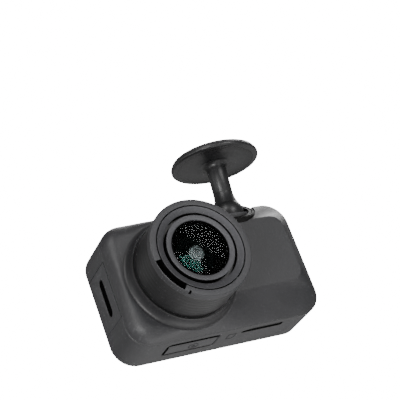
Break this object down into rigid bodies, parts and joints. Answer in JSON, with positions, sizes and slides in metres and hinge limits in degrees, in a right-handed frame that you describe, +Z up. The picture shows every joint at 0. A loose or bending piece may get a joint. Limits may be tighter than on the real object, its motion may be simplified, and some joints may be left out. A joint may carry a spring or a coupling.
{
  "type": "dash camera",
  "caption": "Compact dash camera: rounded box with an offset round lens barrel, a friction ball socket on top and an adhesive windscreen disc on a short arm.",
  "frame": {"origin": "centre of the adhesive pad's outer face, where the mount sticks to the windscreen", "axes": "+X to the right when facing the lens, +Y backwards away from the scene (the lens looks along -Y), +Z up along the camera body"},
  "size_m": [0.0529, 0.0313, 0.0476],
  "materials": {
    "case_plastic": "fine-grained moulded dark grey",
    "panel_plastic": "fine-grained moulded dark grey, slightly smoother",
    "barrel_plastic": "turned satin black with fine rings",
    "bezel_satin": "satin dark grey, bead blasted",
    "lens_glass": "polished, coated",
    "coated_glass": "polished with green coating",
    "black_plastic": "flat black",
    "gasket_rubber": "soft black",
    "chip_plastic": "moulded black",
    "board_laminate": "solder mask green",
    "plated_steel": "nickel plated",
    "spreader_metal": "plain",
    "cell_pouch": "foil pouch",
    "card_plastic": "smooth black",
    "light_pipe": "clear milky",
    "antenna_foil": "amber flexible film",
    "screw_steel": "black oxide",
    "button_plastic": "satin",
    "liner_plastic": "slick black",
    "mount_plastic": "smooth satin dark grey",
    "adhesive_foam": "acrylic foam"
  },
  "bodies": {
    "mount": {"mount_disc": "mount_plastic", "mount_arm": "mount_plastic", "adhesive_pad": "adhesive_foam", "disc_screw": "screw_steel", "ball_screw": "screw_steel"},
    "ball": {"mount_ball": "mount_plastic"},
    "liner": {"socket_liner": "liner_plastic"},
    "button": {"event_button": "button_plastic"},
    "card": {"memory_card": "card_plastic"},
    "camera": {"antenna": "antenna_foil", "aperture_ring": "black_plastic", "backup_cell": "cell_pouch", "barrel_collar": "barrel_plastic", "bezel_inner": "bezel_satin", "bezel_middle": "bezel_satin", "bezel_outer": "bezel_satin", "board_connector": "chip_plastic", "board_screws": "screw_steel", "button_switch": "chip_plastic", "buzzer": "chip_plastic", "card_socket": "plated_steel", "element_retainer": "black_plastic", "front_element": "coated_glass", "front_glass": "lens_glass", "front_shell": "case_plastic", "heat_spreader": "spreader_metal", "image_sensor": "chip_plastic", "infrared_filter": "coated_glass", "lens_baffle": "black_plastic", "lens_barrel": "barrel_plastic", "lens_cell": "black_plastic", "lens_gasket": "gasket_rubber", "main_board": "board_laminate", "microphone": "chip_plastic", "middle_element": "coated_glass", "power_receptacle": "plated_steel", "processor": "chip_plastic", "rear_element": "coated_glass", "rear_shell": "case_plastic", "sensor_board": "board_laminate", "sensor_holder": "black_plastic", "shield_can": "plated_steel", "side_port_panel": "panel_plastic", "socket_cup": "black_plastic", "socket_ring": "panel_plastic", "status_light": "light_pipe"}
  },
  "joints": [
    {"name": "arm_spin", "type": "hinge", "parent": "mount", "child": "ball", "pos_m": [-0.00127, 0.00097, -0.01582], "axis": [0.0801, -0.0609, 0.9949], "continuous": true},
    {"name": "side_tilt", "type": "hinge", "parent": "ball", "child": "liner", "pos_m": [-0.00127, 0.00097, -0.01582], "axis": [0, 1, 0], "range_deg": [-20, 20]},
    {"name": "lens_tilt", "type": "hinge", "parent": "liner", "child": "camera", "pos_m": [-0.00127, 0.00097, -0.01582], "axis": [1, 0, 0], "range_deg": [-80, 5]},
    {"name": "event_button_press", "type": "slide", "parent": "camera", "child": "button", "axis": [0, 0, 1], "range_m": [0, 0.0005], "stiffness_N_per_m": 1200},
    {"name": "memory_card_slide", "type": "slide", "parent": "camera", "child": "card", "axis": [0, 0, -1], "range_m": [-0.0006, 0.0165]}
  ]
}
